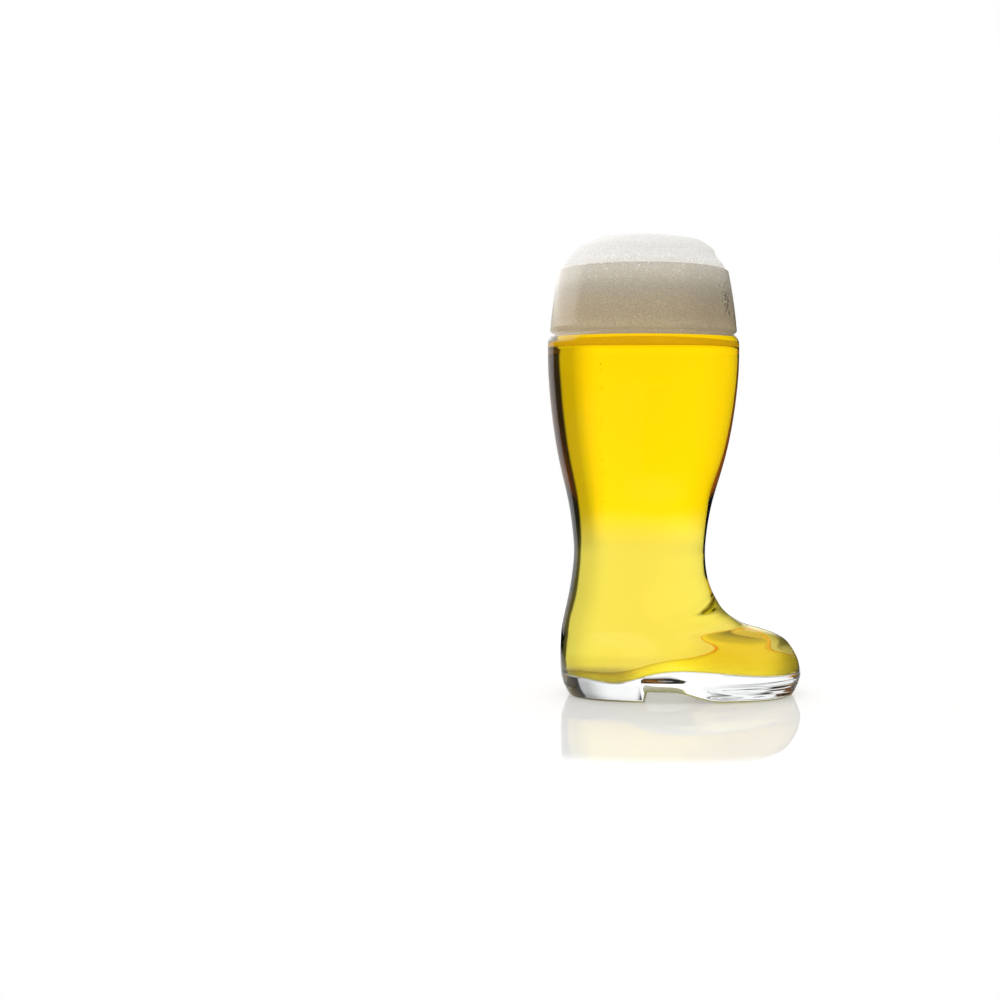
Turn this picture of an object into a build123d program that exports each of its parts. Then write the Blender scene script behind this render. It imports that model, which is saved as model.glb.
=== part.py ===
import os
from math import cos, exp, pi, sin, sqrt

from build123d import *

# A drinking glass in the shape of a boot, full of beer under a head of foam. Sizes are in millimetres.
# +X points to the toe and +Z up. The origin is on the table, under the middle of the boot's length.

# Leg of the boot, outside. It is round at the shoulder and a little narrower across at the ankle.
shoulder_height = 188.6
shoulder_radius = 52.5
ankle_height = 78.6
ankle_back = 38.2
ankle_front = 33.8
ankle_half_width = 34.5

# Foot, outside. The welt is the line where the upper meets the thick sole.
welt_height = 11.1
heel_reach = 45.5
toe_reach = 86.0
ball_half_width = 36.0
ball_place = 26.0
waist_depth = 1.2
waist_place = 3.0
waist_length = 21.0

# Sole. It tapers in below the welt, and an arch is hollowed out between its heel and its ball.
sole_taper = 4.6
sole_edge_radius = 2.0
breast_place = 0.5
breast_slant = 1.5
arch_height = 5.4
arch_length = 40.0

# The shoulder stays upright a little, then curves in to the groove
shoulder_upright = 2.5
shoulder_curve = 5.5
groove_depth = 2.5
groove_width = 1.2
groove_lip = 0.8

# Cuff above the groove. It starts a step inside the shoulder, bows out a little and tapers up to the rim.
cuff_step = 1.2
cuff_height = 33.0
cuff_bulge = 0.4
cuff_taper = 4.5

# Glass thicknesses. Behind the groove the inside stands in as a low ridge.
wall = 3.0
cuff_wall = 3.0
cuff_inside_rise = 5.0
rim_wall = 1.6
rim_round_share = 0.45
ridge_depth = 1.2
floor_low = 10.2
floor_high = 16.2
floor_radius = 4.0

# Contents. Beer and foam stand clear of the glass and of each other by the clearance. The beer ends a
# little below the groove.
clearance = 0.15
fill_drop = 2.5
dome_height = 19.0

# How far a cut runs past what it cuts
overrun = 5.0

# Points on the outline of each level cut through the boot
points_round = 32

# Steps between the levels over the shoulder, up the cuff, over the rim and over the ridge inside
shoulder_steps = 4
cuff_steps = 3
rim_steps = 4
ridge_steps = 6

# Levels from the welt up to the ankle. Each row holds shares: the height from welt to ankle, the back
# reach from ankle to heel, the front reach from ankle to toe, the half width from ankle to ball, the
# place of the widest point from the leg's middle to the ball, the waist, and the wall at the front, which
# slopes there and cuts longer. The last two are the fullness of the heel's curve and of the toe's, where
# 2 is an ellipse.
foot_shares = [
    (0.000, 0.95, 1.000, 1.00, 1.00, 1.00, 1.00, 2.50, 2.45),
    (0.067, 1.00, 0.989, 1.00, 0.97, 1.00, 1.00, 2.50, 2.40),
    (0.141, 1.01, 0.961, 0.90, 0.88, 0.80, 1.15, 2.45, 2.28),
    (0.215, 1.01, 0.908, 0.70, 0.76, 0.55, 1.35, 2.38, 2.10),
    (0.274, 0.99, 0.843, 0.50, 0.62, 0.35, 1.70, 2.30, 1.95),
    (0.319, 0.97, 0.745, 0.37, 0.48, 0.22, 2.35, 2.24, 1.82),
    (0.356, 0.94, 0.612, 0.29, 0.34, 0.12, 2.90, 2.18, 1.72),
    (0.393, 0.89, 0.448, 0.22, 0.22, 0.05, 2.80, 2.14, 1.68),
    (0.437, 0.82, 0.322, 0.16, 0.14, 0.00, 2.00, 2.10, 1.76),
    (0.496, 0.71, 0.218, 0.11, 0.08, 0.00, 1.50, 2.06, 1.88),
    (0.585, 0.52, 0.130, 0.06, 0.04, 0.00, 1.20, 2.02, 1.97),
    (0.704, 0.30, 0.055, 0.02, 0.01, 0.00, 1.05, 2.00, 2.00),
    (0.852, 0.10, 0.010, 0.00, 0.00, 0.00, 1.00, 2.00, 2.00),
    (1.000, 0.00, 0.000, 0.00, 0.00, 0.00, 1.00, 2.00, 2.00),
]

# Levels from the ankle up to the shoulder: the share of the height, and of the swell from ankle to
# shoulder
leg_shares = [
    (0.09, 0.045),
    (0.18, 0.130),
    (0.27, 0.255),
    (0.36, 0.415),
    (0.45, 0.570),
    (0.55, 0.710),
    (0.64, 0.810),
    (0.73, 0.890),
    (0.82, 0.950),
    (0.91, 0.990),
    (1.00, 1.000),
]

# Levels of the sole: the share of the welt's height, and of the taper
sole_shares = [(0.00, 1.00), (0.30, 0.62), (0.62, 0.27), (1.00, 0.00)]

# Arch under the sole, from its breast at the heel to its end at the ball and a little below: shares of
# the length and of the height
arch_shares = [
    (0.00, 1.00),
    (0.22, 1.00),
    (0.46, 0.93),
    (0.66, 0.54),
    (0.85, 0.19),
    (1.00, 0.00),
    (1.15, -0.16),
]

# Floor of the hollow: the share of the way from heel to toe, and of the height from its low to its high
# place
floor_shares = [
    (0.000, 0.22),
    (0.150, 0.17),
    (0.275, 0.00),
    (0.361, 0.53),
    (0.407, 0.80),
    (0.475, 1.00),
    (0.582, 0.93),
    (0.726, 0.58),
    (0.856, 0.28),
    (1.000, 0.00),
]

# Dome of foam above the rim: the share of the rim's inner radius, and of the height of the dome
dome_shares = [(0.975, 0.16), (0.90, 0.40), (0.80, 0.62), (0.67, 0.80), (0.48, 0.93), (0.25, 0.985)]

# Heights and radii that follow, from the shoulder up to the top of the foam
shoulder_line = shoulder_height + shoulder_upright
groove_height = shoulder_line + shoulder_curve
groove_radius = shoulder_radius - groove_depth
cuff_bottom = groove_height + groove_width + groove_lip
cuff_radius = shoulder_radius - cuff_step
cuff_inside_height = cuff_bottom + cuff_inside_rise
boot_height = cuff_bottom + cuff_height
rim_radius = cuff_radius - cuff_taper
rim_round = rim_wall * rim_round_share
beer_height = groove_height - fill_drop
foam_height = boot_height + dome_height

axis_place = (shoulder_radius - toe_reach) / 2
leg_axis = Axis((axis_place, 0, 0), (0, 0, 1))
leg_plane = Plane(origin=(axis_place, 0, 0), x_dir=(1, 0, 0), z_dir=(0, -1, 0))


def between(low, high, share):
    """The value that lies a share of the way from low to high."""
    return low + (high - low) * share


def oval(back, front, half_width, widest=0.0, waist=0.0, heel_fullness=2.0, toe_fullness=2.0):
    """Points round one level of the boot, which reaches back and front from the leg's axis."""
    points = []
    for step in range(points_round):
        turn = 2 * pi * step / points_round
        along = cos(turn)
        across = sin(turn)
        reach = front - widest if along > 0 else back + widest
        fullness = toe_fullness if along > 0 else heel_fullness
        stretch = (abs(along) ** fullness + abs(across) ** fullness) ** (-1 / fullness)
        x = widest + reach * along * stretch
        pinch = waist * exp(-(((x - waist_place) / waist_length) ** 2))
        points.append((x, (half_width - pinch) * across * stretch))
    return points


def foot_level(shares, inset):
    """Height and outline of one level of the foot, its walls moved in by the inset."""
    rise, back, front, width, widest, waist, front_wall, heel_fullness, toe_fullness = shares
    outline = oval(
        between(ankle_back, heel_reach, back) - inset,
        between(ankle_front, toe_reach, front) - inset * front_wall,
        between(ankle_half_width, ball_half_width, width) - inset,
        between((ankle_front - ankle_back) / 2, ball_place, widest),
        waist_depth * waist,
        heel_fullness,
        toe_fullness,
    )
    return between(welt_height, ankle_height, rise), outline


def leg_level(shares, inset):
    """Height and outline of one level of the leg, its walls moved in by the inset."""
    rise, swell = shares
    outline = oval(
        between(ankle_back, shoulder_radius, swell) - inset,
        between(ankle_front, shoulder_radius, swell) - inset,
        between(ankle_half_width, shoulder_radius, swell) - inset,
        between((ankle_front - ankle_back) / 2, 0, swell),
    )
    return between(ankle_height, shoulder_height, rise), outline


def upper_levels(inset):
    """All levels from the welt up to the shoulder, their walls moved in by the inset."""
    foot_levels = [foot_level(shares, inset) for shares in foot_shares]
    return foot_levels + [leg_level(shares, inset) for shares in leg_shares]


def ring(height, radius):
    """Height and outline of one round level above the shoulder."""
    return height, oval(radius, radius, radius)


def shoulder_rings():
    """Round levels over the shoulder, which curves in from upright to the bottom of the groove."""
    curve = (groove_depth**2 + shoulder_curve**2) / (2 * groove_depth)
    rings = [ring(shoulder_height, shoulder_radius)]
    for step in range(shoulder_steps + 1):
        rise = shoulder_curve * step / shoulder_steps
        rings.append(ring(shoulder_line + rise, shoulder_radius - curve + sqrt(curve**2 - rise**2)))
    return rings


def cuff_rings():
    """Round levels up the outside of the cuff, which bows out a little between its foot and the rim."""
    rings = []
    for step in range(cuff_steps + 1):
        rise = step / cuff_steps
        bow = cuff_bulge * sin(pi * rise)
        height = between(cuff_bottom, boot_height - rim_round, rise)
        rings.append(ring(height, between(cuff_radius, rim_radius, rise) + bow))
    return rings


def rim_rings():
    """Round levels over the outside of the rim."""
    rings = []
    for step in range(rim_steps + 1):
        turn = pi / 2 * step / rim_steps
        rings.append(ring(boot_height - rim_round * (1 - sin(turn)), rim_radius - rim_round * (1 - cos(turn))))
    return rings


def inner_wall(inset, top_height):
    """Heights and radii up the inside, over the ridge behind the groove and up the cuff to the top height."""
    cuff_inside = cuff_radius - cuff_wall
    rim_inside = rim_radius - rim_wall
    shoulder_inside = shoulder_radius - wall
    places = []
    for step in range(ridge_steps + 1):
        rise = step / ridge_steps
        ridge = ridge_depth * sin(pi * rise) ** 2
        height = between(shoulder_height, cuff_inside_height, rise)
        places.append((height, between(shoulder_inside, cuff_inside, rise) - ridge - inset))
    climb = (top_height - cuff_inside_height) / (boot_height - cuff_inside_height)
    places.append((top_height, between(cuff_inside, rim_inside, climb) - inset))
    return places


def make_hollow(inset):
    """The hollow of the glass with its walls and floor moved in by the inset."""
    floor = []
    for along, rise in floor_shares:
        place = between(-heel_reach - overrun, toe_reach + overrun, along)
        floor.append((place, between(floor_low, floor_high, rise) + inset))
    leg = upper_levels(wall + inset)
    leg.insert(0, (sole_edge_radius, leg[0][1]))
    top = [ring(height, radius) for height, radius in inner_wall(inset, boot_height + overrun)]
    with BuildPart() as hollow:
        for levels in (leg, top[:-1], top[-2:]):
            for height, outline in levels:
                with BuildSketch(Plane(origin=(axis_place, 0, height))):
                    with BuildLine():
                        Spline(*outline, periodic=True)
                    make_face()
            loft()
        with BuildSketch(leg_plane):
            with BuildLine():
                Spline(*floor)
                Polyline(floor[-1], (toe_reach + overrun, 0), (-heel_reach - overrun, 0), floor[0])
            make_face()
        extrude(amount=shoulder_radius, both=True, mode=Mode.SUBTRACT)
        fillet(hollow.faces().sort_by(Axis.Z)[0].edges(), floor_radius)
    return hollow.part


# The clear glass: the sole, the foot and leg, and the shoulder, groove and cuff, less the hollow and the
# arch
hollow = make_hollow(0)
sole_levels = []
for rise, taper in sole_shares:
    sole_levels.append((welt_height * rise, foot_level(foot_shares[0], sole_taper * taper)[1]))
groove_rings = [shoulder_rings()[-1], ring(groove_height + groove_width, groove_radius), cuff_rings()[0]]
with BuildPart() as glass_boot:
    for levels in (sole_levels, upper_levels(0), shoulder_rings(), groove_rings, cuff_rings(), rim_rings()):
        for height, outline in levels:
            with BuildSketch(Plane(origin=(axis_place, 0, height))):
                with BuildLine():
                    Spline(*outline, periodic=True)
                make_face()
        loft(ruled=levels is groove_rings)
    fillet(glass_boot.faces().sort_by(Axis.Z)[0].edges(), sole_edge_radius)
    add(hollow, mode=Mode.SUBTRACT)
    fillet(glass_boot.faces().sort_by(Axis.Z)[-1].edges().sort_by(SortBy.LENGTH)[0], rim_round)
    with BuildSketch(leg_plane):
        with BuildLine():
            arch = []
            for along, rise in arch_shares:
                arch.append((between(breast_place + breast_slant, arch_length, along), arch_height * rise))
            Polyline((breast_place, -overrun), (breast_place, 0), arch[0])
            Spline(*arch)
            Polyline(arch[-1], (arch[-1][0], -overrun), (breast_place, -overrun))
        make_face()
    extrude(amount=shoulder_radius, both=True, mode=Mode.SUBTRACT)
glass_boot.part.label = "glass_boot"

# The beer fills the hollow up to the groove
with BuildPart() as beer:
    add(make_hollow(clearance))
    split(bisect_by=Plane.XY.offset(beer_height - clearance), keep=Keep.BOTTOM)
beer.part.label = "beer"

# The foam fills the cuff above the beer and stands over the rim as a dome
side = [(radius, height) for height, radius in inner_wall(clearance, boot_height)]
dome = [side[-1]]
for reach, rise in dome_shares:
    dome.append((side[-1][0] * reach, between(boot_height, foam_height, rise)))
dome.append((0, foam_height))
with BuildPart() as foam_head:
    with BuildSketch(leg_plane):
        with BuildLine():
            Spline(*side[:-1])
            Line(side[-2], side[-1])
            Spline(*dome, tangents=[(0, 1), (-1, 0)])
            Polyline((0, foam_height), (0, shoulder_height), side[0])
        make_face()
    revolve(axis=leg_axis)
    split(bisect_by=Plane.XY.offset(beer_height), keep=Keep.TOP)
foam_head.part.label = "foam_head"

os.makedirs("parts", exist_ok=True)
for piece in (glass_boot, beer, foam_head):
    export_step(piece.part, f"parts/{piece.part.label}.step")
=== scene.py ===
import random
from math import pi

import bpy
import numpy as np
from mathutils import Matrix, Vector, noise


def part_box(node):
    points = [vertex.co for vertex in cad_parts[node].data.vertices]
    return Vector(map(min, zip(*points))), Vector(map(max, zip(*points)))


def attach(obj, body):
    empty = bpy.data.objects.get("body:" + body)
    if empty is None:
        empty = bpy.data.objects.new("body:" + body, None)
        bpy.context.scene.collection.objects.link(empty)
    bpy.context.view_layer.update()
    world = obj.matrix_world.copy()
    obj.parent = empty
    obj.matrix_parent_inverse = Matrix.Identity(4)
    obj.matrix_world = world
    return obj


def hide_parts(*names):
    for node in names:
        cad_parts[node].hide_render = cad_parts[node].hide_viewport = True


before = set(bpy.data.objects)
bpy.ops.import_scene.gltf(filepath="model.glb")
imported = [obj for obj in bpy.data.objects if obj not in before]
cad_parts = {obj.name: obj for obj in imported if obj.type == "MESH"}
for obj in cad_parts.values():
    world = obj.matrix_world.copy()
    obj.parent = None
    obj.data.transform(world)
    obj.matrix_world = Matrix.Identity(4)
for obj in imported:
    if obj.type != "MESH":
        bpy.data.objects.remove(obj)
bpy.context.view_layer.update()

# A boot of clear glass, full of pale beer under a dome of foam. Lengths are in metres.

MM = 0.001

# Sizes that the frame gives
GLASS_LOW, GLASS_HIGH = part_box("glass_boot")
FOAM_LOW, FOAM_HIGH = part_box("foam_head")
SHOULDER_RADIUS = (GLASS_HIGH[1] - GLASS_LOW[1]) / 2
BOOT_HEIGHT = GLASS_HIGH[2]
LEG_X = GLASS_LOW[0] + SHOULDER_RADIUS
TOE_REACH = GLASS_HIGH[0] - LEG_X
BEER_HEIGHT = FOAM_LOW[2]
FOAM_HEIGHT = FOAM_HIGH[2]

# Outside of the leg, the foot and the sole
SHOULDER_HEIGHT = 188.6 * MM
SHOULDER_LINE = 191.1 * MM
ANKLE_HEIGHT = 78.6 * MM
ANKLE_BACK = 38.2 * MM
ANKLE_FRONT = 33.8 * MM
ANKLE_HALF_WIDTH = 34.5 * MM
WELT_HEIGHT = 11.1 * MM
WELT_EDGE = 0.2 * MM
HEEL_REACH = 45.5 * MM
BALL_HALF_WIDTH = 36.0 * MM
BALL_PLACE = 26.0 * MM
WAIST_DEPTH = 1.2 * MM
WAIST_PLACE = 3.0 * MM
WAIST_LENGTH = 21.0 * MM
SOLE_TAPER = 4.6 * MM
SOLE_EDGE_RADIUS = 2.0 * MM
BREAST_PLACE = 0.5 * MM
BREAST_SLANT = 1.5 * MM
ARCH_HEIGHT = 5.4 * MM
ARCH_LENGTH = 40.0 * MM

# Groove, cuff and rim
GROOVE_HEIGHT = 196.6 * MM
GROOVE_RADIUS = 50.0 * MM
GROOVE_WIDTH = 1.2 * MM
CUFF_BOTTOM = 198.6 * MM
CUFF_RADIUS = 51.3 * MM
CUFF_EDGE = 0.35 * MM
CUFF_BULGE = 0.4 * MM
RIM_RADIUS = 46.8 * MM

# Inside of the glass
WALL = 3.0 * MM
CUFF_WALL = 3.0 * MM
CUFF_INSIDE_HEIGHT = 203.6 * MM
RIM_WALL = 1.6 * MM
RIDGE_DEPTH = 1.2 * MM
FLOOR_LOW = 10.2 * MM
FLOOR_HIGH = 16.2 * MM
FLOOR_OVERRUN = 5.0 * MM
FLOOR_RADIUS = 4.0 * MM
FLOOR_BLEND_HEIGHT = 60.0 * MM

# How much glass and beer slow light down against air
GLASS_INDEX = 1.5
BEER_INDEX = 1.34

# The foam's skin lies this far inside the wall, so that no film of air shows between them. The beer's skin
# stays just clear of the wall, whose own surface does the bending.
WETTING = 0.12 * MM
BEER_GAP = 0.02 * MM
MENISCUS = 1.2 * MM
MENISCUS_WIDTH = 3.0 * MM
FOAM_DIP = 0.4 * MM
FOAM_LUMP = 0.7 * MM
FOAM_LUMP_LENGTH = 16.0 * MM
FINE_LUMP_SHARE = 0.3

# Levels of the foot from the welt to the ankle: shares of the height, the back reach, the front reach, the
# half width, the place of the widest point and the waist, then the share of the wall at the front, and the
# fullness of the heel's curve and of the toe's, where 2 is an ellipse
FOOT_SHARES = [
    (0.000, 0.95, 1.000, 1.00, 1.00, 1.00, 1.00, 2.50, 2.45),
    (0.067, 1.00, 0.989, 1.00, 0.97, 1.00, 1.00, 2.50, 2.40),
    (0.141, 1.01, 0.961, 0.90, 0.88, 0.80, 1.15, 2.45, 2.28),
    (0.215, 1.01, 0.908, 0.70, 0.76, 0.55, 1.35, 2.38, 2.10),
    (0.274, 0.99, 0.843, 0.50, 0.62, 0.35, 1.70, 2.30, 1.95),
    (0.319, 0.97, 0.745, 0.37, 0.48, 0.22, 2.35, 2.24, 1.82),
    (0.356, 0.94, 0.612, 0.29, 0.34, 0.12, 2.90, 2.18, 1.72),
    (0.393, 0.89, 0.448, 0.22, 0.22, 0.05, 2.80, 2.14, 1.68),
    (0.437, 0.82, 0.322, 0.16, 0.14, 0.00, 2.00, 2.10, 1.76),
    (0.496, 0.71, 0.218, 0.11, 0.08, 0.00, 1.50, 2.06, 1.88),
    (0.585, 0.52, 0.130, 0.06, 0.04, 0.00, 1.20, 2.02, 1.97),
    (0.704, 0.30, 0.055, 0.02, 0.01, 0.00, 1.05, 2.00, 2.00),
    (0.852, 0.10, 0.010, 0.00, 0.00, 0.00, 1.00, 2.00, 2.00),
    (1.000, 0.00, 0.000, 0.00, 0.00, 0.00, 1.00, 2.00, 2.00),
]

# Levels of the leg from the ankle to the shoulder: shares of the height and of the swell
LEG_SHARES = [
    (0.09, 0.045),
    (0.18, 0.130),
    (0.27, 0.255),
    (0.36, 0.415),
    (0.45, 0.570),
    (0.55, 0.710),
    (0.64, 0.810),
    (0.73, 0.890),
    (0.82, 0.950),
    (0.91, 0.990),
    (1.00, 1.000),
]

# Levels of the sole: shares of the welt's height and of the taper
SOLE_SHARES = [(0.00, 1.00), (0.30, 0.62), (0.62, 0.27), (1.00, 0.00)]

# Arch under the sole, from its breast at the heel to its end at the ball: shares of the length and the height
ARCH_SHARES = [
    (0.00, 1.00),
    (0.22, 1.00),
    (0.46, 0.93),
    (0.66, 0.54),
    (0.85, 0.19),
    (1.00, 0.00),
    (1.15, -0.16),
]

# Groove under the cuff: shares of its width upwards, and of the cuff's overhang outwards
GROOVE_SHARES = [(0.5, -0.04), (0.8, 0.02), (1.0, 0.15), (1.25, 0.45), (1.5, 0.78)]

# Top of the beer: shares of the width of its drawn-up edge, then of the level middle's radius
MENISCUS_SHARES = [0.1, 0.25, 0.5, 0.75, 1.0]
LEVEL_SHARES = [0.75, 0.5, 0.25]

# Floor of the hollow: the share of the way from heel to toe, and of the height from its low to its high place
FLOOR_SHARES = [
    (0.000, 0.22),
    (0.150, 0.17),
    (0.275, 0.00),
    (0.361, 0.53),
    (0.407, 0.80),
    (0.475, 1.00),
    (0.582, 0.93),
    (0.726, 0.58),
    (0.856, 0.28),
    (1.000, 0.00),
]

# Dome of the foam: shares of its height, and of its radius at the rim on the heel side and on the toe side
DOME_SHARES = [
    (0.00, 1.000, 1.000),
    (0.16, 0.965, 0.980),
    (0.27, 0.930, 0.945),
    (0.38, 0.900, 0.902),
    (0.49, 0.862, 0.875),
    (0.58, 0.825, 0.862),
    (0.67, 0.785, 0.822),
    (0.76, 0.710, 0.770),
    (0.85, 0.620, 0.700),
    (0.93, 0.500, 0.580),
    (0.985, 0.260, 0.290),
    (1.00, 0.000, 0.000),
]

# Bubbles in the foam under the rim, made bright by a painted glow: their heights, number, radii, and how far
# each is moved
RIM_BUBBLES_LOW = 224.0 * MM
RIM_BUBBLES_HIGH = 236.0 * MM
RIM_BUBBLE_COUNT = 330
RIM_BUBBLE_RADII = (0.20 * MM, 0.45 * MM)
RIM_BUBBLE_SHIFT = 0.7 * MM
RIM_BUBBLE_TURN = 0.012

# Bubbles in the foam at one side of the cuff, painted dark as shade: their heights, number, radii, turn and
# spread
POCKET_LOW = 203.0 * MM
POCKET_HIGH = 226.0 * MM
POCKET_COUNT = 70
POCKET_RADII = (0.20 * MM, 0.50 * MM)
POCKET_TURN = -0.42
POCKET_SPREAD = 0.05

# String of tiny bubbles in the beer
STRING_LOW = 104.0 * MM
STRING_HIGH = 182.0 * MM
STRING_COUNT = 15
STRING_RADII = (0.20 * MM, 0.35 * MM)
STRING_X = -19.0 * MM
STRING_Y = -14.0 * MM
STRING_SWAY = 0.8 * MM
STRING_SHIFT = 3.0 * MM

# Fineness of the meshes
COLUMNS = 144
ACROSS = 26
ROW_STEP = 1.2 * MM
FINE_ROW_STEP = 0.5 * MM
FINE_LOW = 24.0 * MM
FINE_HIGH = 47.0 * MM
ROUND_STEPS = 8
SOLE_ROWS = 8
SHOULDER_ROWS = 16
CUFF_ROWS = 26
FOAM_ROWS = 30
DOME_ROWS = 60
BUBBLE_SEGMENTS = 8
BUBBLE_RINGS = 6

# Depth of the fine bumps in the glass and in the foam
BUMP_DEPTH = 0.35 * MM


def between(low, high, share):
    """The value that lies a share of the way from low to high."""
    return low + (high - low) * share


def smooth_line(places, values):
    """A function that runs smoothly through the values at the places, as a bent batten does."""
    places = np.array(places, float)
    values = np.array(values, float)
    gaps = np.diff(places)
    count = len(places)
    matrix = np.eye(count)
    bends = np.zeros(count)
    for row in range(1, count - 1):
        matrix[row, row - 1:row + 2] = gaps[row - 1], 2 * (gaps[row - 1] + gaps[row]), gaps[row]
        slopes = (values[row:row + 2] - values[row - 1:row + 1]) / gaps[row - 1:row + 1]
        bends[row] = 6 * (slopes[1] - slopes[0])
    bends = np.linalg.solve(matrix, bends)

    def read(place):
        place = np.clip(place, places[0], places[-1])
        left = np.clip(np.searchsorted(places, place, side="right") - 1, 0, count - 2)
        gap = gaps[left]
        low = (places[left + 1] - place) / gap
        high = 1 - low
        bend = ((low**3 - low) * bends[left] + (high**3 - high) * bends[left + 1]) * gap**2 / 6
        return low * values[left] + high * values[left + 1] + bend

    return read


def boot_levels():
    """The sizes of the boot's outline as functions of the height, from the welt to the shoulder."""
    rows = []
    middle = (ANKLE_FRONT - ANKLE_BACK) / 2
    for rise, back, front, width, widest, waist, front_wall, heel_fullness, toe_fullness in FOOT_SHARES:
        rows.append((
            between(WELT_HEIGHT, ANKLE_HEIGHT, rise),
            between(ANKLE_BACK, HEEL_REACH, back),
            between(ANKLE_FRONT, TOE_REACH, front),
            between(ANKLE_HALF_WIDTH, BALL_HALF_WIDTH, width),
            between(middle, BALL_PLACE, widest),
            WAIST_DEPTH * waist,
            front_wall,
            heel_fullness,
            toe_fullness,
        ))
    for rise, swell in LEG_SHARES:
        rows.append((
            between(ANKLE_HEIGHT, SHOULDER_HEIGHT, rise),
            between(ANKLE_BACK, SHOULDER_RADIUS, swell),
            between(ANKLE_FRONT, SHOULDER_RADIUS, swell),
            between(ANKLE_HALF_WIDTH, SHOULDER_RADIUS, swell),
            between(middle, 0, swell),
            0, 1, 2, 2,
        ))
    heights, *columns = zip(*rows)
    return [smooth_line(heights, column) for column in columns]


LEVELS = boot_levels()
SOLE_INSET = smooth_line([rise * WELT_HEIGHT for rise, _ in SOLE_SHARES], [taper for _, taper in SOLE_SHARES])
ARCH_START = BREAST_PLACE + BREAST_SLANT
ARCH = smooth_line(
    [between(ARCH_START, ARCH_LENGTH, along) for along, _ in ARCH_SHARES],
    [ARCH_HEIGHT * rise for _, rise in ARCH_SHARES],
)
FLOOR = smooth_line(
    [between(-HEEL_REACH - FLOOR_OVERRUN, TOE_REACH + FLOOR_OVERRUN, along) for along, _ in FLOOR_SHARES],
    [between(FLOOR_LOW, FLOOR_HIGH, rise) for _, rise in FLOOR_SHARES],
)
TURNS = np.linspace(0, 2 * pi, COLUMNS, endpoint=False)


def outline(turns, height, inset):
    """X and Y, from the leg's axis, of the boot's outline at a height, its walls moved in by the inset."""
    sizes = [read(height) for read in LEVELS]
    back, front, width, widest, pinch, front_wall, heel_fullness, toe_fullness = sizes
    along = np.cos(turns)
    across = np.sin(turns)
    to_toe = along > 0
    fullness = np.where(to_toe, toe_fullness, heel_fullness)
    stretch = (abs(along) ** fullness + abs(across) ** fullness) ** (-1 / fullness)
    reach = np.where(to_toe, front - inset * front_wall - widest, back - inset + widest)
    x = widest + reach * along * stretch
    pinch = pinch * np.exp(-(((x - WAIST_PLACE) / WAIST_LENGTH) ** 2))
    return x, (width - inset - pinch) * across * stretch


def ring(turns, height, inset):
    """One ring of points of the boot's outline. The height may differ from column to column."""
    x, y = outline(turns, height, inset)
    return np.column_stack((x, y, np.broadcast_to(height, x.shape)))


def circle(turns, height, radius):
    """One round ring of points above the shoulder."""
    return np.column_stack((radius * np.cos(turns), radius * np.sin(turns), np.full(len(turns), height)))


def row_heights(low, high):
    """Heights from low to high, closer together where the instep runs almost level."""
    heights = [low]
    while heights[-1] < high:
        fine = FINE_LOW < heights[-1] < FINE_HIGH
        heights.append(heights[-1] + (FINE_ROW_STEP if fine else ROW_STEP))
    if len(heights) > 2:
        heights.pop()
    heights[-1] = high
    return heights


def shoulder_radius_at(height):
    """Outside radius over the shoulder, which curves in from upright to the groove."""
    drop = SHOULDER_RADIUS - GROOVE_RADIUS
    climb = GROOVE_HEIGHT - SHOULDER_LINE
    curve = (drop**2 + climb**2) / (2 * drop)
    rise = np.clip(height - SHOULDER_LINE, 0, climb)
    return SHOULDER_RADIUS - curve + np.sqrt(curve**2 - rise**2)


def cuff_radius_at(height):
    """Outside radius of the cuff, which bows out a little."""
    rise = (height - CUFF_BOTTOM) / (BOOT_HEIGHT - CUFF_BOTTOM)
    return between(CUFF_RADIUS, RIM_RADIUS, rise) + CUFF_BULGE * np.sin(pi * np.clip(rise, 0, 1))


def inside_radius_at(height):
    """Inside radius over the shoulder, the ridge behind the groove, and the cuff."""
    shoulder_inside = SHOULDER_RADIUS - WALL
    cuff_inside = CUFF_RADIUS - CUFF_WALL
    rise = np.clip((height - SHOULDER_HEIGHT) / (CUFF_INSIDE_HEIGHT - SHOULDER_HEIGHT), 0, 1)
    ridge = RIDGE_DEPTH * np.sin(pi * rise) ** 2
    climb = np.clip((height - CUFF_INSIDE_HEIGHT) / (BOOT_HEIGHT - CUFF_INSIDE_HEIGHT), 0, 1)
    lower = between(shoulder_inside, cuff_inside, rise) - ridge
    return between(lower, RIM_RADIUS - RIM_WALL, climb)


def underside(x):
    """Height of the sole's underside: flat under the heel and the ball, with the arch between them."""
    breast = ARCH_HEIGHT * np.clip((x - BREAST_PLACE) / BREAST_SLANT, 0, 1)
    return np.where(x < ARCH_START, breast, np.maximum(ARCH(x), 0))


def sole_turns():
    """Turns of the columns, with one more on each side at the foot and at the top of the heel's breast."""
    half = TURNS[: COLUMNS // 2 + 1]
    x, _ = outline(half, WELT_HEIGHT, SOLE_TAPER + SOLE_EDGE_RADIUS)
    breasts = np.interp([BREAST_PLACE, BREAST_PLACE + BREAST_SLANT], x[::-1], half[::-1])
    half = np.sort(np.concatenate((half, breasts)))
    return np.concatenate((half, 2 * pi - half[-2:0:-1]))


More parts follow.
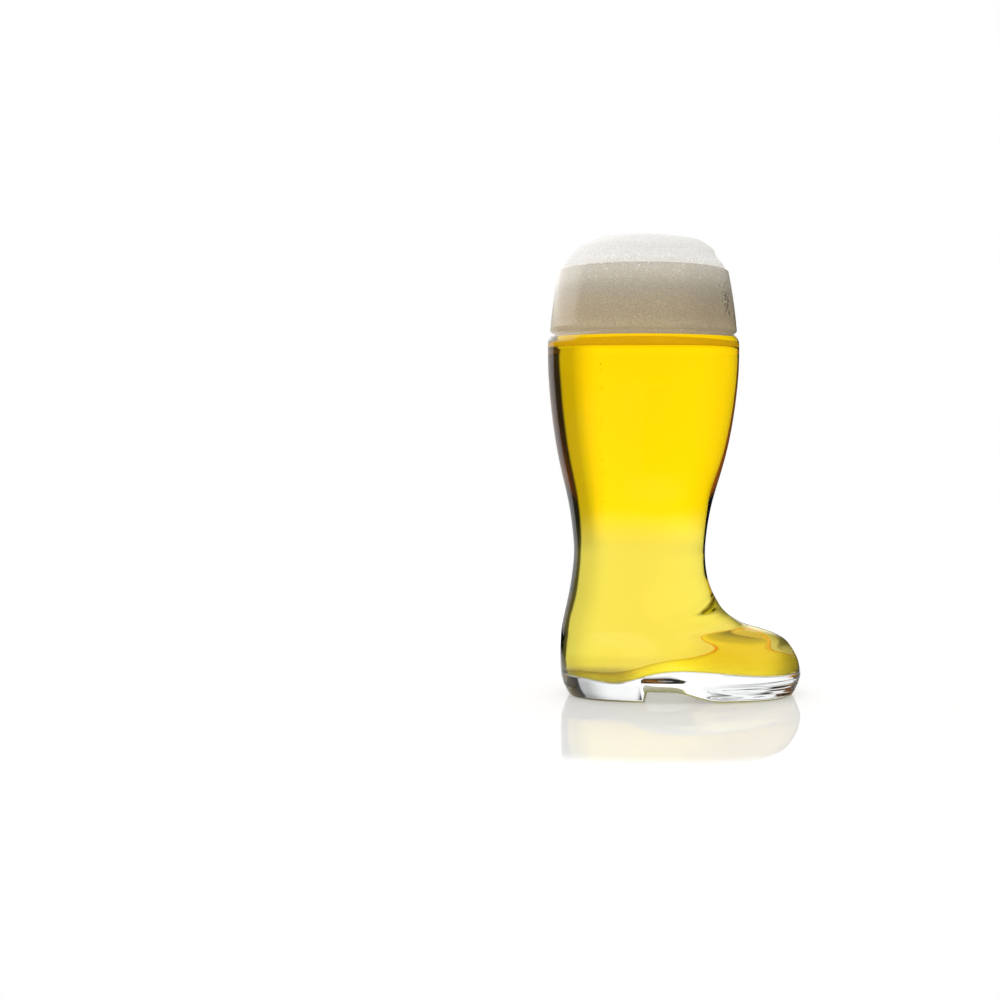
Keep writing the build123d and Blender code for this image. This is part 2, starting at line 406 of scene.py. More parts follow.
def sole_rings(turns):
    """Rings from the edge of the underside up to the welt. The arch lifts the lower ones column by column."""
    x, _ = outline(turns, WELT_HEIGHT, SOLE_TAPER + SOLE_EDGE_RADIUS)
    lift = underside(x)
    edge_turns = [pi / 2 * step / ROUND_STEPS for step in range(ROUND_STEPS + 1)]
    heights = [SOLE_EDGE_RADIUS * (1 - np.cos(turn)) for turn in edge_turns]
    heights += list(np.linspace(SOLE_EDGE_RADIUS, WELT_HEIGHT - WELT_EDGE, SOLE_ROWS)[1:])
    rings = []
    for height in heights:
        below = max(SOLE_EDGE_RADIUS - height, 0)
        edge = SOLE_EDGE_RADIUS - np.sqrt(SOLE_EDGE_RADIUS**2 - below**2)
        points = ring(turns, WELT_HEIGHT, SOLE_TAPER * SOLE_INSET(height) + edge)
        points[:, 2] = height + lift * (1 - height / WELT_HEIGHT)
        rings.append(points)
    return rings


def outer_rings(turns):
    """Rings up the outside, from the edge of the underside to the outside of the rim."""
    rings = sole_rings(turns)
    for height in row_heights(WELT_HEIGHT + WELT_EDGE, SHOULDER_HEIGHT):
        rings.append(ring(turns, height, 0))
    for height in np.linspace(SHOULDER_HEIGHT, GROOVE_HEIGHT, SHOULDER_ROWS)[1:]:
        rings.append(circle(turns, height, shoulder_radius_at(height)))
    lip = CUFF_RADIUS - GROOVE_RADIUS
    for rise, reach in GROOVE_SHARES:
        rings.append(circle(turns, GROOVE_HEIGHT + rise * GROOVE_WIDTH, GROOVE_RADIUS + lip * reach))
    cuff_start = GROOVE_HEIGHT + GROOVE_WIDTH + 2 * CUFF_EDGE + WELT_EDGE
    for height in np.linspace(cuff_start, BOOT_HEIGHT - RIM_WALL / 2, CUFF_ROWS):
        rings.append(circle(turns, height, cuff_radius_at(height)))
    return rings


def rim_rings(turns):
    """Rings over the rounded rim, from its outside to its inside."""
    height = BOOT_HEIGHT - RIM_WALL / 2
    outside = cuff_radius_at(height)
    inside = inside_radius_at(height)
    rings = []
    for step in range(1, 2 * ROUND_STEPS):
        turn = pi * step / (2 * ROUND_STEPS)
        radius = between(inside, outside, 0.5 + 0.5 * np.cos(turn))
        rings.append(circle(turns, height + RIM_WALL / 2 * np.sin(turn), radius))
    return rings


def hollow_rings(turns, inset, top):
    """Rings down the inside, from the top height to the edge of the hollow's floor."""
    rings = []
    if top > SHOULDER_HEIGHT:
        for height in np.linspace(top, SHOULDER_HEIGHT, max(int((top - SHOULDER_HEIGHT) / MM), 2))[:-1]:
            rings.append(circle(turns, height, inside_radius_at(height) - inset))
    for height in row_heights(FLOOR_BLEND_HEIGHT, SHOULDER_HEIGHT)[:0:-1]:
        rings.append(ring(turns, height, WALL + inset))
    x, _ = outline(turns, FLOOR_LOW + FLOOR_RADIUS, WALL + inset)
    foot = FLOOR(x) + inset + FLOOR_RADIUS
    heights = np.array(row_heights(FLOOR_LOW + FLOOR_RADIUS, FLOOR_BLEND_HEIGHT))[::-1]
    for share in (heights - heights[-1]) / (heights[0] - heights[-1]):
        rings.append(ring(turns, between(foot, FLOOR_BLEND_HEIGHT, share), WALL + inset))
    for step in range(1, ROUND_STEPS + 1):
        turn = pi / 2 * step / ROUND_STEPS
        points = ring(turns, foot, WALL + inset + FLOOR_RADIUS * (1 - np.cos(turn)))
        points[:, 2] = FLOOR(points[:, 0]) + inset + FLOOR_RADIUS * (1 - np.sin(turn))
        rings.append(points)
    return rings


class Skin:
    """The points and faces of a piece that is skinned ring by ring."""

    def __init__(self):
        self.points = []
        self.faces = []

    def add(self, points):
        """Adds points and gives their numbers."""
        start = len(self.points)
        self.points.extend(tuple(point) for point in points)
        return np.arange(start, len(self.points))

    def join(self, lower, upper):
        """Faces between two rings of as many points."""
        for this, after in zip(range(len(lower)), list(range(1, len(lower))) + [0]):
            self.faces.append((lower[this], lower[after], upper[after], upper[this]))

    def wall(self, rings):
        """Adds rings and the faces between them, and gives the numbers of the first ring and of the last."""
        numbers = [self.add(points) for points in rings]
        for lower, upper in zip(numbers, numbers[1:]):
            self.join(lower, upper)
        return numbers[0], numbers[-1]

    def level_cap(self, edge, surface, upward):
        """Closes an outline that is the same on both sides with rows of faces straight across it."""
        half = len(edge) // 2
        rows = []
        for step in range(1, half):
            right = np.array(self.points[edge[step]])
            left = np.array(self.points[edge[-step]])
            middle = [between(right, left, share) for share in np.linspace(0, 1, ACROSS + 1)[1:-1]]
            for point in middle:
                point[2] = surface(point[0])
            rows.append([edge[step], *self.add(middle), edge[-step]])
        faces = []
        for front, back in zip(rows, rows[1:]):
            for place in range(ACROSS):
                faces.append((front[place], back[place], back[place + 1], front[place + 1]))
        for place in range(ACROSS):
            faces.append((edge[0], rows[0][place], rows[0][place + 1]))
            faces.append((edge[half], rows[-1][place + 1], rows[-1][place]))
        self.faces.extend(faces if not upward else [face[::-1] for face in faces])

    def pole(self, edge, point, upward):
        """Closes a ring with one fan of faces."""
        top = self.add([point])[0]
        for this, after in zip(edge, np.roll(edge, -1)):
            self.faces.append((this, after, top) if upward else (after, this, top))

    def piece(self, name, material, node):
        """Makes the piece, which rides on the boot and stands for the node."""
        mesh = bpy.data.meshes.new(name)
        points = [(x + LEG_X, y, z) for x, y, z in self.points]
        mesh.from_pydata(points, [], [tuple(map(int, face)) for face in self.faces])
        mesh.polygons.foreach_set("use_smooth", [True] * len(mesh.polygons))
        mesh.materials.append(material)
        mesh.update()
        made = bpy.data.objects.new(name, mesh)
        bpy.context.scene.collection.objects.link(made)
        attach(made, "root")
        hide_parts(node)
        return made


def make_glass(dry, wetted):
    """The boot of glass, in one closed skin. Beer wets its inside up to a little above the foam's foot."""
    turns = sole_turns()
    skin = Skin()
    outside = outer_rings(turns) + rim_rings(turns)
    bottom, floor = skin.wall(outside + hollow_rings(turns, 0, BOOT_HEIGHT - RIM_WALL / 2))
    walls_end = len(skin.faces)
    skin.level_cap(bottom, underside, upward=False)
    underside_end = len(skin.faces)
    skin.level_cap(floor, FLOOR, upward=True)
    made = skin.piece("boot_glass_wall", dry, "glass_boot")
    made.data.materials.append(wetted)
    for face in made.data.polygons:
        hollow = len(outside) * len(turns) <= face.index < walls_end or face.index >= underside_end
        if hollow and face.center.z < BEER_HEIGHT + MENISCUS:
            face.material_index = 1


def make_beer(material):
    """The beer, from the hollow's floor to the foam, with its edge drawn up the glass a little."""
    edge_height = BEER_HEIGHT + MENISCUS
    skin = Skin()
    bottom, top = skin.wall(hollow_rings(TURNS, BEER_GAP, edge_height)[::-1])
    skin.level_cap(bottom, lambda x: FLOOR(x) + BEER_GAP, upward=False)
    edge = inside_radius_at(edge_height) - BEER_GAP
    inner = []
    for share in MENISCUS_SHARES:
        height = between(edge_height, BEER_HEIGHT, 1 - (1 - share) ** 2)
        inner.append(circle(TURNS, height, edge - MENISCUS_WIDTH * share))
    for share in LEVEL_SHARES:
        inner.append(circle(TURNS, BEER_HEIGHT, (edge - MENISCUS_WIDTH) * share))
    first, last = skin.wall(inner)
    skin.join(top, first)
    skin.pole(last, (0, 0, BEER_HEIGHT), upward=True)
    skin.piece("beer_fill", material, "beer")


def foam_lump(point):
    """How far the foam's surface stands out at a point, in soft lumps of two sizes."""
    broad = noise.noise(Vector(point) / FOAM_LUMP_LENGTH)
    fine = noise.noise(Vector(point) / FOAM_LUMP_LENGTH * 3)
    return FOAM_LUMP * np.clip(broad + FINE_LUMP_SHARE * fine, -1, 1)


def make_foam(material):
    """The head of foam: it fills the cuff, bulges over the rim and stands as a soft dome."""
    turns = np.linspace(0, 2 * pi, 2 * COLUMNS, endpoint=False)
    skin = Skin()
    low = BEER_HEIGHT - FOAM_DIP
    edge_height = BOOT_HEIGHT - RIM_WALL / 2
    rings = [circle(turns, low, inside_radius_at(low) - WALL)]
    for height in np.linspace(low, edge_height, FOAM_ROWS):
        rings.append(circle(turns, height, inside_radius_at(height) + WETTING))
    rises, heel_shares, toe_shares = zip(*DOME_SHARES)
    steps = np.linspace(0, 1, len(rises))
    rise_at = smooth_line(steps, rises)
    heel_at = smooth_line(steps, heel_shares)
    toe_at = smooth_line(steps, toe_shares)
    edge = inside_radius_at(edge_height) + WETTING
    toe_side = 0.5 + 0.5 * np.cos(turns)
    for step in np.linspace(0, 1, DOME_ROWS)[1:-1]:
        rise = float(rise_at(step))
        radius = edge * between(heel_at(step), toe_at(step), toe_side)
        height = between(edge_height, FOAM_HEIGHT, rise)
        points = circle(turns, height, 1.0)
        points[:, :2] *= radius[:, None]
        for point in points:
            lump = foam_lump(point) * min(3 * rise, 1)
            point[:2] *= 1 + lump / edge
            point[2] = min(point[2] + lump * rise, FOAM_HEIGHT)
        rings.append(points)
    bottom, top = skin.wall(rings)
    skin.pole(bottom, (0, 0, low), upward=False)
    skin.pole(top, (0, 0, np.mean(rings[-1][:, 2])), upward=True)
    return skin.piece("foam_crown", material, "foam_head")


def bubble_tree(material):
    """Geometry nodes that set a small sphere of random size on every point of a mesh."""
    tree = bpy.data.node_groups.new("bubbles", "GeometryNodeTree")
    tree.interface.new_socket("Places", in_out="INPUT", socket_type="NodeSocketGeometry")
    tree.interface.new_socket("Smallest", in_out="INPUT", socket_type="NodeSocketFloat")
    tree.interface.new_socket("Largest", in_out="INPUT", socket_type="NodeSocketFloat")
    tree.interface.new_socket("Bubbles", in_out="OUTPUT", socket_type="NodeSocketGeometry")
    nodes = tree.nodes
    given = nodes.new("NodeGroupInput")
    result = nodes.new("NodeGroupOutput")
    sphere = nodes.new("GeometryNodeMeshUVSphere")
    sphere.inputs["Segments"].default_value = BUBBLE_SEGMENTS
    sphere.inputs["Rings"].default_value = BUBBLE_RINGS
    sphere.inputs["Radius"].default_value = 1.0
    size = nodes.new("FunctionNodeRandomValue")
    size.data_type = "FLOAT"
    size.inputs["Seed"].default_value = 5
    spread = nodes.new("GeometryNodeInstanceOnPoints")
    real = nodes.new("GeometryNodeRealizeInstances")
    smooth = nodes.new("GeometryNodeSetShadeSmooth")
    coat = nodes.new("GeometryNodeSetMaterial")
    coat.inputs["Material"].default_value = material
    tree.links.new(given.outputs["Smallest"], size.inputs[2])
    tree.links.new(given.outputs["Largest"], size.inputs[3])
    tree.links.new(given.outputs["Places"], spread.inputs["Points"])
    tree.links.new(sphere.outputs["Mesh"], spread.inputs["Instance"])
    tree.links.new(size.outputs[1], spread.inputs["Scale"])
    tree.links.new(spread.outputs[0], real.inputs[0])
    tree.links.new(real.outputs[0], smooth.inputs[0])
    tree.links.new(smooth.outputs[0], coat.inputs[0])
    tree.links.new(coat.outputs[0], result.inputs[0])
    return tree


def make_bubbles(name, places, radii, material):
    """Bubbles at the places, as one plain mesh that rides on the boot."""
    mesh = bpy.data.meshes.new(name + "_places")
    mesh.from_pydata(places, [], [])
    seeds = bpy.data.objects.new(name + "_places", mesh)
    bpy.context.scene.collection.objects.link(seeds)
    grow = seeds.modifiers.new("bubbles", "NODES")
    grow.node_group = bubble_tree(material)
    sizes = dict(zip(("Smallest", "Largest"), radii))
    for socket in grow.node_group.interface.items_tree:
        if socket.name in sizes:
            grow[socket.identifier] = sizes[socket.name]
    grown = bpy.data.meshes.new_from_object(seeds.evaluated_get(bpy.context.evaluated_depsgraph_get()))
    seeds.modifiers.remove(grow)
    bpy.data.objects.remove(seeds)
    grown.name = name
    made = bpy.data.objects.new(name, grown)
    bpy.context.scene.collection.objects.link(made)
    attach(made, "root")


def rim_bubble_places(foam, chance):
    """Points of the foam under the rim and on the dome's foot, each moved a little along the wall."""
    points = [tuple(vertex.co) for vertex in foam.data.vertices]
    crown = [point for point in points if RIM_BUBBLES_LOW < point[2] < RIM_BUBBLES_HIGH]
    moved = []
    for x, y, z in chance.sample(crown, RIM_BUBBLE_COUNT):
        turn = chance.uniform(-RIM_BUBBLE_TURN, RIM_BUBBLE_TURN)
        climb = chance.uniform(-RIM_BUBBLE_SHIFT, RIM_BUBBLE_SHIFT)
        moved.append((x - y * turn, y + (x - LEG_X) * turn, z + climb))
    return moved


def pocket_places(chance):
    """Points in a loose patch at one side of the cuff, where the foam meets the wall."""
    patch = []
    for _ in range(POCKET_COUNT):
        height = chance.triangular(POCKET_LOW, POCKET_HIGH)
        radius = inside_radius_at(height) + WETTING
        turn = POCKET_TURN + chance.gauss(0, POCKET_SPREAD)
        patch.append((LEG_X + radius * np.cos(turn), radius * np.sin(turn), height))
    return patch


def foam_bubbles(foam):
    """Larger bubbles in the foam: bright ones under the rim and on the dome's foot, lit by a painted glow,
    and dark ones at one side, painted as shade.
    """
    chance = random.Random(11)
    pockets = pocket_places(chance)
    # Painted glow makes these bubbles bright.
    glowing_bead_material = bead_material("glowing_foam_bead", (0.97, 0.96, 0.93), 0.4)
    # Painted shade: these bubbles are near black.
    dark = bead_material("shaded_foam_pocket", (0.16, 0.15, 0.13), 0.0)
    make_bubbles("foam_beads", rim_bubble_places(foam, chance), RIM_BUBBLE_RADII, glowing_bead_material)
    make_bubbles("foam_pockets", pockets, POCKET_RADII, dark)


def beer_bubbles():
    """A loose string of tiny bubbles that rises through the beer near the heel side."""
    chance = random.Random(4)
    places = []
    for height in np.linspace(STRING_LOW, STRING_HIGH, STRING_COUNT):
        sway = chance.uniform(-STRING_SWAY, STRING_SWAY)
        shift = chance.uniform(-STRING_SHIFT, STRING_SHIFT)
        places.append((LEG_X + STRING_X + sway, STRING_Y + sway, height + shift))
    amber = bead_material("beer_bead", (0.50, 0.33, 0.03), 0.0)
    make_bubbles("beer_beads", places, STRING_RADII, amber)


class Signal:
    """A socket of a shader, on which sums can be written."""

    def __init__(self, tree, socket=None):
        self.tree = tree
        self.socket = socket

    def node(self, kind, settings=None, inputs=None, output=0):
        """Adds a node with its settings and its sockets' values or links, and gives one of its outputs."""
        made = self.tree.nodes.new(kind)
        for name, value in (settings or {}).items():
            setattr(made, name, value)
        for name, value in (inputs or {}).items():
            if isinstance(value, Signal):
                self.tree.links.new(value.socket, made.inputs[name])
            else:
                made.inputs[name].default_value = value
        return Signal(self.tree, made.outputs[output] if made.outputs else None)

    def outputs(self, *names):
        """Several outputs of the node that this one comes from."""
        return [Signal(self.tree, self.socket.node.outputs[name]) for name in names]

    def sum(self, operation, *values):
        """The result of a Math node on the values."""
        return self.node("ShaderNodeMath", {"operation": operation}, dict(enumerate(values)))

    def __add__(self, other):
        return self.sum("ADD", self, other)

    def __sub__(self, other):
        return self.sum("SUBTRACT", self, other)

    def __mul__(self, other):
        return self.sum("MULTIPLY", self, other)

    def __rsub__(self, other):
        return self.sum("SUBTRACT", other, self)

    __radd__ = __add__
    __rmul__ = __mul__

    def rise(self, low, high):
        """A mask that goes smoothly from 0 where the value is low to 1 where it is high."""
        inputs = {"Value": self, "From Min": low, "From Max": high}
        return self.node("ShaderNodeMapRange", {"interpolation_type": "SMOOTHSTEP"}, inputs)

    def above(self, limit):
        """A mask that is 1 where the value is above the limit."""
        return self.sum("GREATER_THAN", self, limit)

    def at_least(self, other):
        """The larger of the two values."""
        return self.sum("MAXIMUM", self, other)

    def mix(self, low, high):
        """The colour that lies between two colours by this mask."""
        return self.node("ShaderNodeMix", {"data_type": "RGBA"}, {"Factor": self, 6: low, 7: high}, output=2)

    def blend(self, other):
        """The product of two colours."""
        settings = {"data_type": "RGBA", "blend_type": "MULTIPLY"}
        return self.node("ShaderNodeMix", settings, {"Factor": 1.0, 6: self, 7: other}, output=2)


def material_tree(name):
    """A new material with an empty shader, and the signal that adds nodes to it."""
    material = bpy.data.materials.new(name)
    material.use_nodes = True
    material.node_tree.nodes.clear()
    return material, Signal(material.node_tree)


def finish_material(shader, surface, volume=None):
    """Links the surface and the volume to the material's output."""
    inputs = {"Surface": surface}
    if volume:
        inputs["Volume"] = volume
    shader.node("ShaderNodeOutputMaterial", inputs=inputs)


def place_signals(shader):
    """The point on the boot, and how far it lies along, across and above the table."""
    place = shader.node("ShaderNodeTexCoord", output="Object")
    parts = shader.node("ShaderNodeSeparateXYZ", inputs={"Vector": place})
    return place, *parts.outputs("X", "Y", "Z")


def cloud_at(place, scale, detail):
    """A soft random value from 0 to 1 at a point, in finer patches where the scale is larger."""
    inputs = {"Vector": place, "Scale": scale, "Detail": detail}
    return place.node("ShaderNodeTexNoise", inputs=inputs, output="Fac")


def cells_at(place, feature, scale):
    """The distance from a point to the middle of its cell, among cells like those of a foam."""
    inputs = {"Vector": place, "Scale": scale}
    return place.node("ShaderNodeTexVoronoi", {"feature": feature}, inputs, "Distance")


def bump_of(ripple, strength):
    """The direction of a surface that a ripple bumps."""
    inputs = {"Strength": strength, "Distance": BUMP_DEPTH, "Height": ripple}
    return ripple.node("ShaderNodeBump", inputs=inputs)


def boot_glass(name, bending):
    """Colourless glass with the faint waves of a blown wall and streaks at the ends of the sole.

    It bends light by its index against what it touches: air, or beer.
    """
    wall_thick = (0.965, 0.985, 0.975, 1)
    wall_thin = (0.995, 1.0, 0.998, 1)
    sole_grey = (0.73, 0.745, 0.75, 1)
    streak_stretch = (22.0, 22.0, 210.0)
    material, shader = material_tree(name)
    place, x, _, height = place_signals(shader)
    waves = cloud_at(place, 38.0, 1.0)
    sole = 1 - height.rise(9 * MM, 12 * MM)
    tint = sole.mix(waves.mix(wall_thick, wall_thin), sole_grey)
    ends = x.rise(14 * MM, 26 * MM).at_least(1 - x.rise(-60 * MM, -50 * MM))
    flat = shader.node("ShaderNodeVectorMath", {"operation": "MULTIPLY"}, {0: place, 1: streak_stretch})
    streaks = cloud_at(flat, 1.0, 1.0)
    ripple = waves * 0.35 + 17.0 * streaks * ends * (1 - height.rise(6 * MM, 9 * MM))
    surface = shader.node("ShaderNodeBsdfPrincipled", inputs={
        "Base Color": tint,
        "Roughness": 0.0,
        "IOR": bending,
        "Transmission Weight": 1.0,
        "Normal": bump_of(ripple, 0.35),
    })
    finish_material(shader, surface)
    return material


def pale_beer():
    """Clear pale beer, with painted shade in its colour: deeper towards the top of the boot, duller in the
    foot, and browner at both ends of the foot.
    """
    leg_straw = (1.0, 0.95, 0.22, 1)
    top_shaded_gold = (1.0, 0.80, 0.005, 1)
    foot_shaded_straw = (0.80, 0.72, 0.14, 1)
    toe_shaded_straw = (0.84, 0.74, 0.19, 1)
    toe_end_painted_shade = (0.34, 0.31, 0.14, 1)
    floor_painted_shade = (0.50, 0.44, 0.12, 1)
    material, shader = material_tree("pale_beer")
    place, x, _, height = place_signals(shader)
    cloud = cloud_at(place, 30.0, 2.0)
    # Painted shade: deeper gold towards the top of the boot.
    deep_shade_mask = (height + 8 * MM * (cloud - 0.5)).rise(78 * MM, 106 * MM)
    foot = 1 - height.rise(26 * MM, 40 * MM)
    floor_shade_ends = 1 - x.rise(-30 * MM, -10 * MM) + x.rise(42 * MM, 58 * MM)
    tint = deep_shade_mask.mix(leg_straw, top_shaded_gold)
    # Painted shade: duller straw low in the foot, and towards the toe.
    tint = height.rise(14 * MM, 20 * MM).mix(foot_shaded_straw, tint)
    tint = (foot * x.rise(0, 28 * MM)).mix(tint, toe_shaded_straw)
    # Painted shade: brown at the toe's end and along the floor's ends.
    tint = (foot * x.rise(50 * MM, 69 * MM)).mix(tint, toe_end_painted_shade)
    tint = (floor_shade_ends * (1 - height.rise(10.5 * MM, 14 * MM))).mix(tint, floor_painted_shade)
    surface = shader.node("ShaderNodeBsdfPrincipled", inputs={
        "Base Color": tint,
        "Roughness": 0.0,
        "IOR": 1.0,
        "Transmission Weight": 1.0,
    })
    depth = {"Color": (0.9975, 0.922, 0.65, 1), "Density": 40.0}
    finish_material(shader, surface, shader.node("ShaderNodeVolumeAbsorption", inputs=depth))
    return material


def foam_colour(place, x, height, cloud):
    """The foam's colour, nearly white on the dome, with painted shade that makes it beige in the cuff and a
    little darker at the toe side.
    """
    cuff_shaded_dark = (0.79, 0.64, 0.41, 1)
    cuff_shaded_light = (0.99, 0.82, 0.57, 1)
    high_shade = (0.83, 0.81, 0.77, 1)
    high_light = (0.99, 0.97, 0.94, 1)
    toe_side_shade = (0.82, 0.82, 0.82, 1)
    white = (1.0, 1.0, 1.0, 1)
    # Painted shade: darker and beige low in the cuff, nearly white up on the dome.
    up = (height + 6 * MM * (cloud - 0.5)).rise(202 * MM, 238 * MM)
    speck = cloud_at(place, 1500.0, 1.0).rise(0.35, 0.65)
    colour = speck.mix(up.mix(cuff_shaded_dark, high_shade), up.mix(cuff_shaded_light, high_light))
    # Painted shade: a little darker on the toe side, below the rim.
    toe_side = x.rise(-5 * MM, 20 * MM) * (1 - height.rise(229 * MM, 232 * MM))
    return toe_side.mix(white, toe_side_shade).blend(colour)


def painted_foam_glow(x, y, height):
    """A painted glow in the emission, for light that wanders through the foam from behind: at the wet bottom
    and under the rim.
    """
    cuff_glow = (0.025, 0.021, 0.014, 1)
    low_glow = (0.08, 0.066, 0.042, 1)
    rim_glow = (0.15, 0.13, 0.095, 1)
    dome_glow = (0.07, 0.069, 0.066, 1)
    wet_glow = (0.34, 0.24, 0.08, 1)
    middle = 1 - x.sum("SQRT", (x - LEG_X) * (x - LEG_X) + y * y).rise(42 * MM, 46 * MM)
    wet = middle * (1 - height.rise(194.4 * MM, 196.0 * MM))
    low = 1 - height.rise(197 * MM, 205 * MM)
    under_rim = height.rise(217 * MM, 229 * MM)
    dome = height.rise(231 * MM, 234 * MM)
    glow = under_rim.mix(low.mix(cuff_glow, low_glow), rim_glow)
    return wet.mix(dome.mix(glow, dome_glow), wet_glow)


def beer_foam():
    """Dense foam with fine round bubbles and a few coarser ones."""
    material, shader = material_tree("beer_foam")
    place, x, y, height = place_signals(shader)
    grain = cells_at(place, "SMOOTH_F1", 900.0)
    coarse = cells_at(place, "F1", 330.0)
    cloud = cloud_at(place, 60.0, 4.0)
    surface = shader.node("ShaderNodeBsdfPrincipled", inputs={
        # The colour carries painted shade in the cuff and at the toe side.
        "Base Color": foam_colour(place, x, height, cloud),
        "Roughness": 0.45 + 0.2 * cloud,
        # Painted glow, in the emission.
        "Emission Color": painted_foam_glow(x, y, height),
        "Emission Strength": 1.0,
        "Normal": bump_of(grain + coarse * 0.5, 0.6),
    })
    finish_material(shader, surface)
    return material


def bead_material(name, colour, glow):
    """A glossy bubble, a little uneven in colour, with a painted glow of the given strength."""
    material, shader = material_tree(name)
    place = shader.node("ShaderNodeTexCoord", output="Object")
    darker = [0.75 * part for part in colour]
    tint = cloud_at(place, 500.0, 1.0).mix((*darker, 1), (*colour, 1))
    surface = shader.node("ShaderNodeBsdfPrincipled", inputs={
        "Base Color": tint,
        "Roughness": 0.08,
        "IOR": 1.45,
        # Painted glow: the bubble shines with its own colour at the given strength.
        "Emission Color": tint,
        "Emission Strength": glow,
    })
    finish_material(shader, surface)
    return material


def place_camera():
    """The photograph's level camera, straight before the boot, with the photograph's shifted frame."""
    metres_per_pixel = 0.55 * MM
    distance_pixels = 1400
    axis_pixel = 643.5
    eye_level_pixel = 435
    table_pixel = 692.95
    centre_pixel = 500
    image_pixels = 1000
    data = bpy.data.cameras.new("photo_camera")
    data.sensor_width = 36.0
    data.lens = data.sensor_width * distance_pixels / image_pixels
    data.shift_x = (centre_pixel - axis_pixel) / image_pixels
    data.shift_y = (eye_level_pixel - centre_pixel) / image_pixels
    camera = bpy.data.objects.new("photo_camera", data)
    bpy.context.scene.collection.objects.link(camera)
    eye_height = (table_pixel - eye_level_pixel) * metres_per_pixel
    camera.location = (LEG_X, -distance_pixels * metres_per_pixel, eye_height)
    camera.rotation_euler = (pi / 2, 0, 0)
    bpy.context.scene.camera = camera


def light_studio():
    """A white room with dark boards at its sides, a bright panel high on the left and a dark front."""
    world = bpy.data.worlds.new("studio")
    bpy.context.scene.world = world
    world.use_nodes = True
    world.node_tree.nodes.clear()
    shader = Signal(world.node_tree)
    direction = shader.node("ShaderNodeTexCoord", output="Generated")
    parts = shader.node("ShaderNodeSeparateXYZ", inputs={"Vector": direction})
    east, north, up = parts.outputs("X", "Y", "Z")
    bearing = shader.sum("DEGREES", shader.sum("ARCTAN2", east, north))
    path = shader.node("ShaderNodeLightPath")
    camera, through, glossy, depth, glances = path.outputs(
        "Is Camera Ray", "Is Transmission Ray", "Is Glossy Ray", "Diffuse Depth", "Glossy Depth"
    )
    mirror = glossy * (1 - through)
    straight = 1 - glances.above(0.5)

    # What shows through the glass: white, a little dimmer to the right, between two dark boards
    level = 1.11 + 0.26 * up.rise(-0.03, 0.09) - 0.44 * up.rise(0.28, 0.42) - 0.60 * up.rise(0.42, 0.55)
    down = 1 - up.rise(-0.10, 0.12)
    steep = 1 - up.rise(-0.17, -0.08)
    steepest = 1 - up.rise(-0.54, -0.42)
    right_fade = (0.5 - 0.3 * down) * bearing.rise(12, 28)
    toe_dark = 0.7 * steepest * bearing.rise(-80, -55)
    left_fade = (0.08 * (1 - down) + toe_dark) * (1 - bearing.rise(-35, -14))
    fade = (1 - right_fade) * (1 - left_fade)
    board_right = (1 - 0.12 * down) * (bearing - 4 * down).rise(34, 38)
    board_left = (1 - 0.9 * steep) * (1 - bearing.rise(-61, -57))
    shade = 1 - fade * (1 - 0.98 * board_right) * (1 - 0.93 * board_left)

    # Only light that has been mirrored inside the glass finds the front dark. Straight through, it is white
    front = (1 - straight) * (1 - 0.9 * steep) * (1 - north.rise(-0.35, 0.15))
    away = straight * (1 - north.rise(-0.10, 0.35))
    behind = level * (1 - shade * (1 - away))
    seen_through = (behind * (1 - front)).at_least(0.04 * front)

    # What the glass mirrors: a panel behind to the left, wider and brighter high up, and the ceiling
    low_panel = bearing.rise(-45, -42) * (1 - bearing.rise(-4, -1))
    high_panel = bearing.rise(-95, -80) * (1 - bearing.rise(10, 20))
    high = up.rise(0.10, 0.17)
    mirrored = 0.015 + 0.6 * low_panel * (1 - high) + 1.6 * high * high_panel
    mirrored = mirrored.at_least(0.3 * up.rise(0.45, 0.75))

    # What lights the foam and the table: mostly from above and behind
    soft = 0.84 + 0.13 * up + 0.12 * north - 0.05 * east
    clear = 1 - depth.above(0.5)
    direct = clear * (through * seen_through + mirror * mirrored)
    strength = soft * (1 - clear * through.at_least(mirror)) + direct
    strength = camera.at_least(strength * (1 - camera))
    background = shader.node("ShaderNodeBackground", inputs={"Color": (1, 1, 1, 1), "Strength": strength})
    shader.node("ShaderNodeOutputWorld", inputs={"Surface": background})


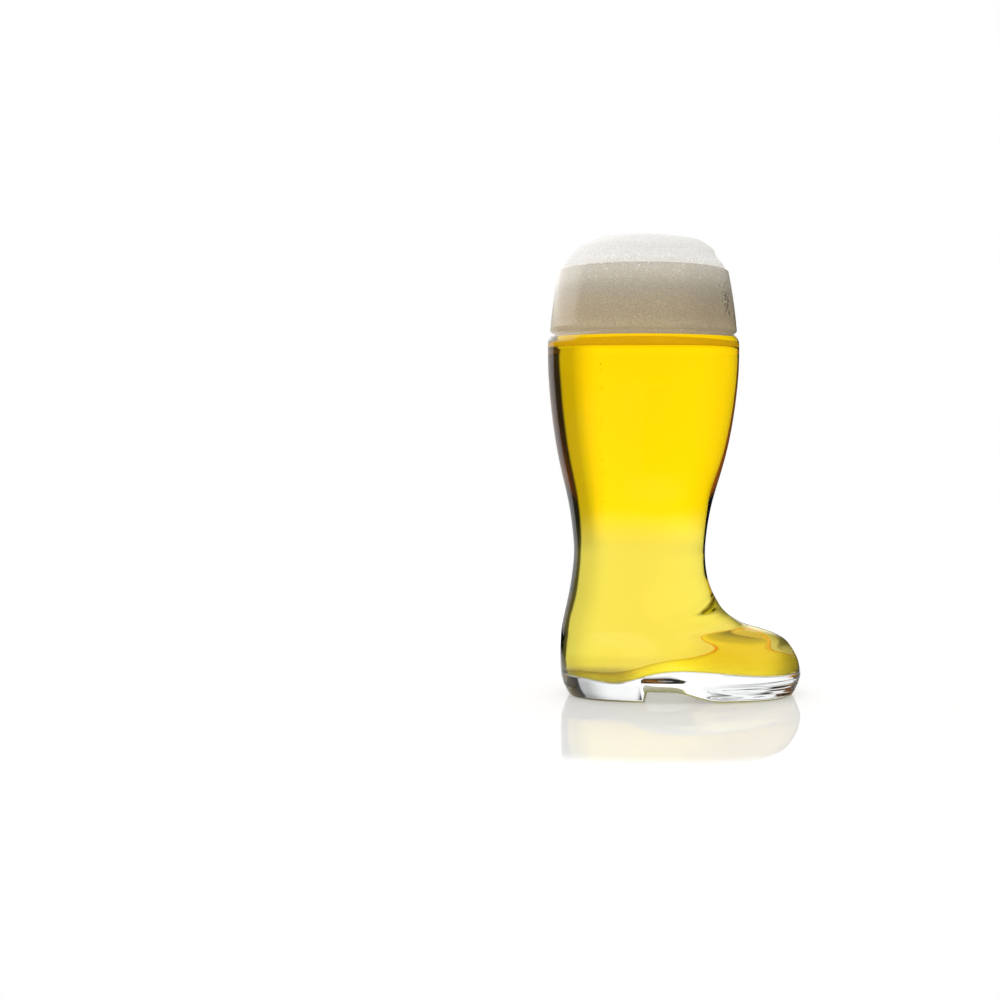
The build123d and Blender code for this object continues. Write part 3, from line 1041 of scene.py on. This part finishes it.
def white_table():
    """White with a faint mirror in its polish. It fades into the white room towards the table's edge."""
    black = (0.0, 0.0, 0.0, 1)
    white = (1.0, 1.0, 1.0, 1)
    material, shader = material_tree("white_table")
    place = shader.node("ShaderNodeTexCoord", output="Object")
    reach = shader.node("ShaderNodeVectorMath", {"operation": "LENGTH"}, {"Vector": place}, "Value")
    path = shader.node("ShaderNodeLightPath")
    camera, through, glossy = path.outputs("Is Camera Ray", "Is Transmission Ray", "Is Glossy Ray")
    matt = shader.node("ShaderNodeBsdfDiffuse", inputs={"Color": (0.92, 0.92, 0.92, 1)})
    polish = shader.node("ShaderNodeBsdfGlossy", inputs={"Color": white, "Roughness": 0.03})
    top = shader.node("ShaderNodeMixShader", inputs={0: 0.25, 1: matt, 2: polish})

    # The camera sees it nearly white, and wholly white at its edge
    shown = camera * (0.26 + 0.74 * reach.rise(0.15, 0.18))
    room = shader.node("ShaderNodeEmission", inputs={"Color": white, "Strength": 1.15})
    seen = shader.node("ShaderNodeMixShader", inputs={0: shown, 1: top, 2: room})

    # Light that comes through the glass goes on into the room, and mirrored light finds the far table dark
    beyond = shader.node("ShaderNodeBsdfTransparent", inputs={"Color": white})
    seen = shader.node("ShaderNodeMixShader", inputs={0: through * reach.rise(0, 0.012), 1: seen, 2: beyond})
    dark = glossy * (1 - through) * reach.rise(0.12, 0.24)
    night = shader.node("ShaderNodeEmission", inputs={"Color": black, "Strength": 0.0})
    finish_material(shader, shader.node("ShaderNodeMixShader", inputs={0: dark, 1: seen, 2: night}))
    return material


def make_table():
    """A round white table around the boot's leg."""
    radius = 0.42
    rings = 24
    points = [(LEG_X, 0, 0)]
    faces = []
    for ring_number in range(1, rings + 1):
        for turn in TURNS:
            reach = radius * ring_number / rings
            points.append((LEG_X + reach * np.cos(turn), reach * np.sin(turn), 0))
    for this in range(COLUMNS):
        after = (this + 1) % COLUMNS
        faces.append((0, 1 + this, 1 + after))
        for ring_number in range(rings - 1):
            low = 1 + ring_number * COLUMNS
            high = low + COLUMNS
            faces.append((low + this, high + this, high + after, low + after))
    mesh = bpy.data.meshes.new("table_top")
    mesh.from_pydata(points, [], faces)
    mesh.materials.append(white_table())
    table = bpy.data.objects.new("table_top", mesh)
    bpy.context.scene.collection.objects.link(table)


place_camera()
bpy.context.scene.view_settings.view_transform = "Standard"
make_glass(boot_glass("clear_glass", GLASS_INDEX), boot_glass("wetted_glass", GLASS_INDEX / BEER_INDEX))
make_beer(pale_beer())
foam_bubbles(make_foam(beer_foam()))
beer_bubbles()
light_studio()
make_table()
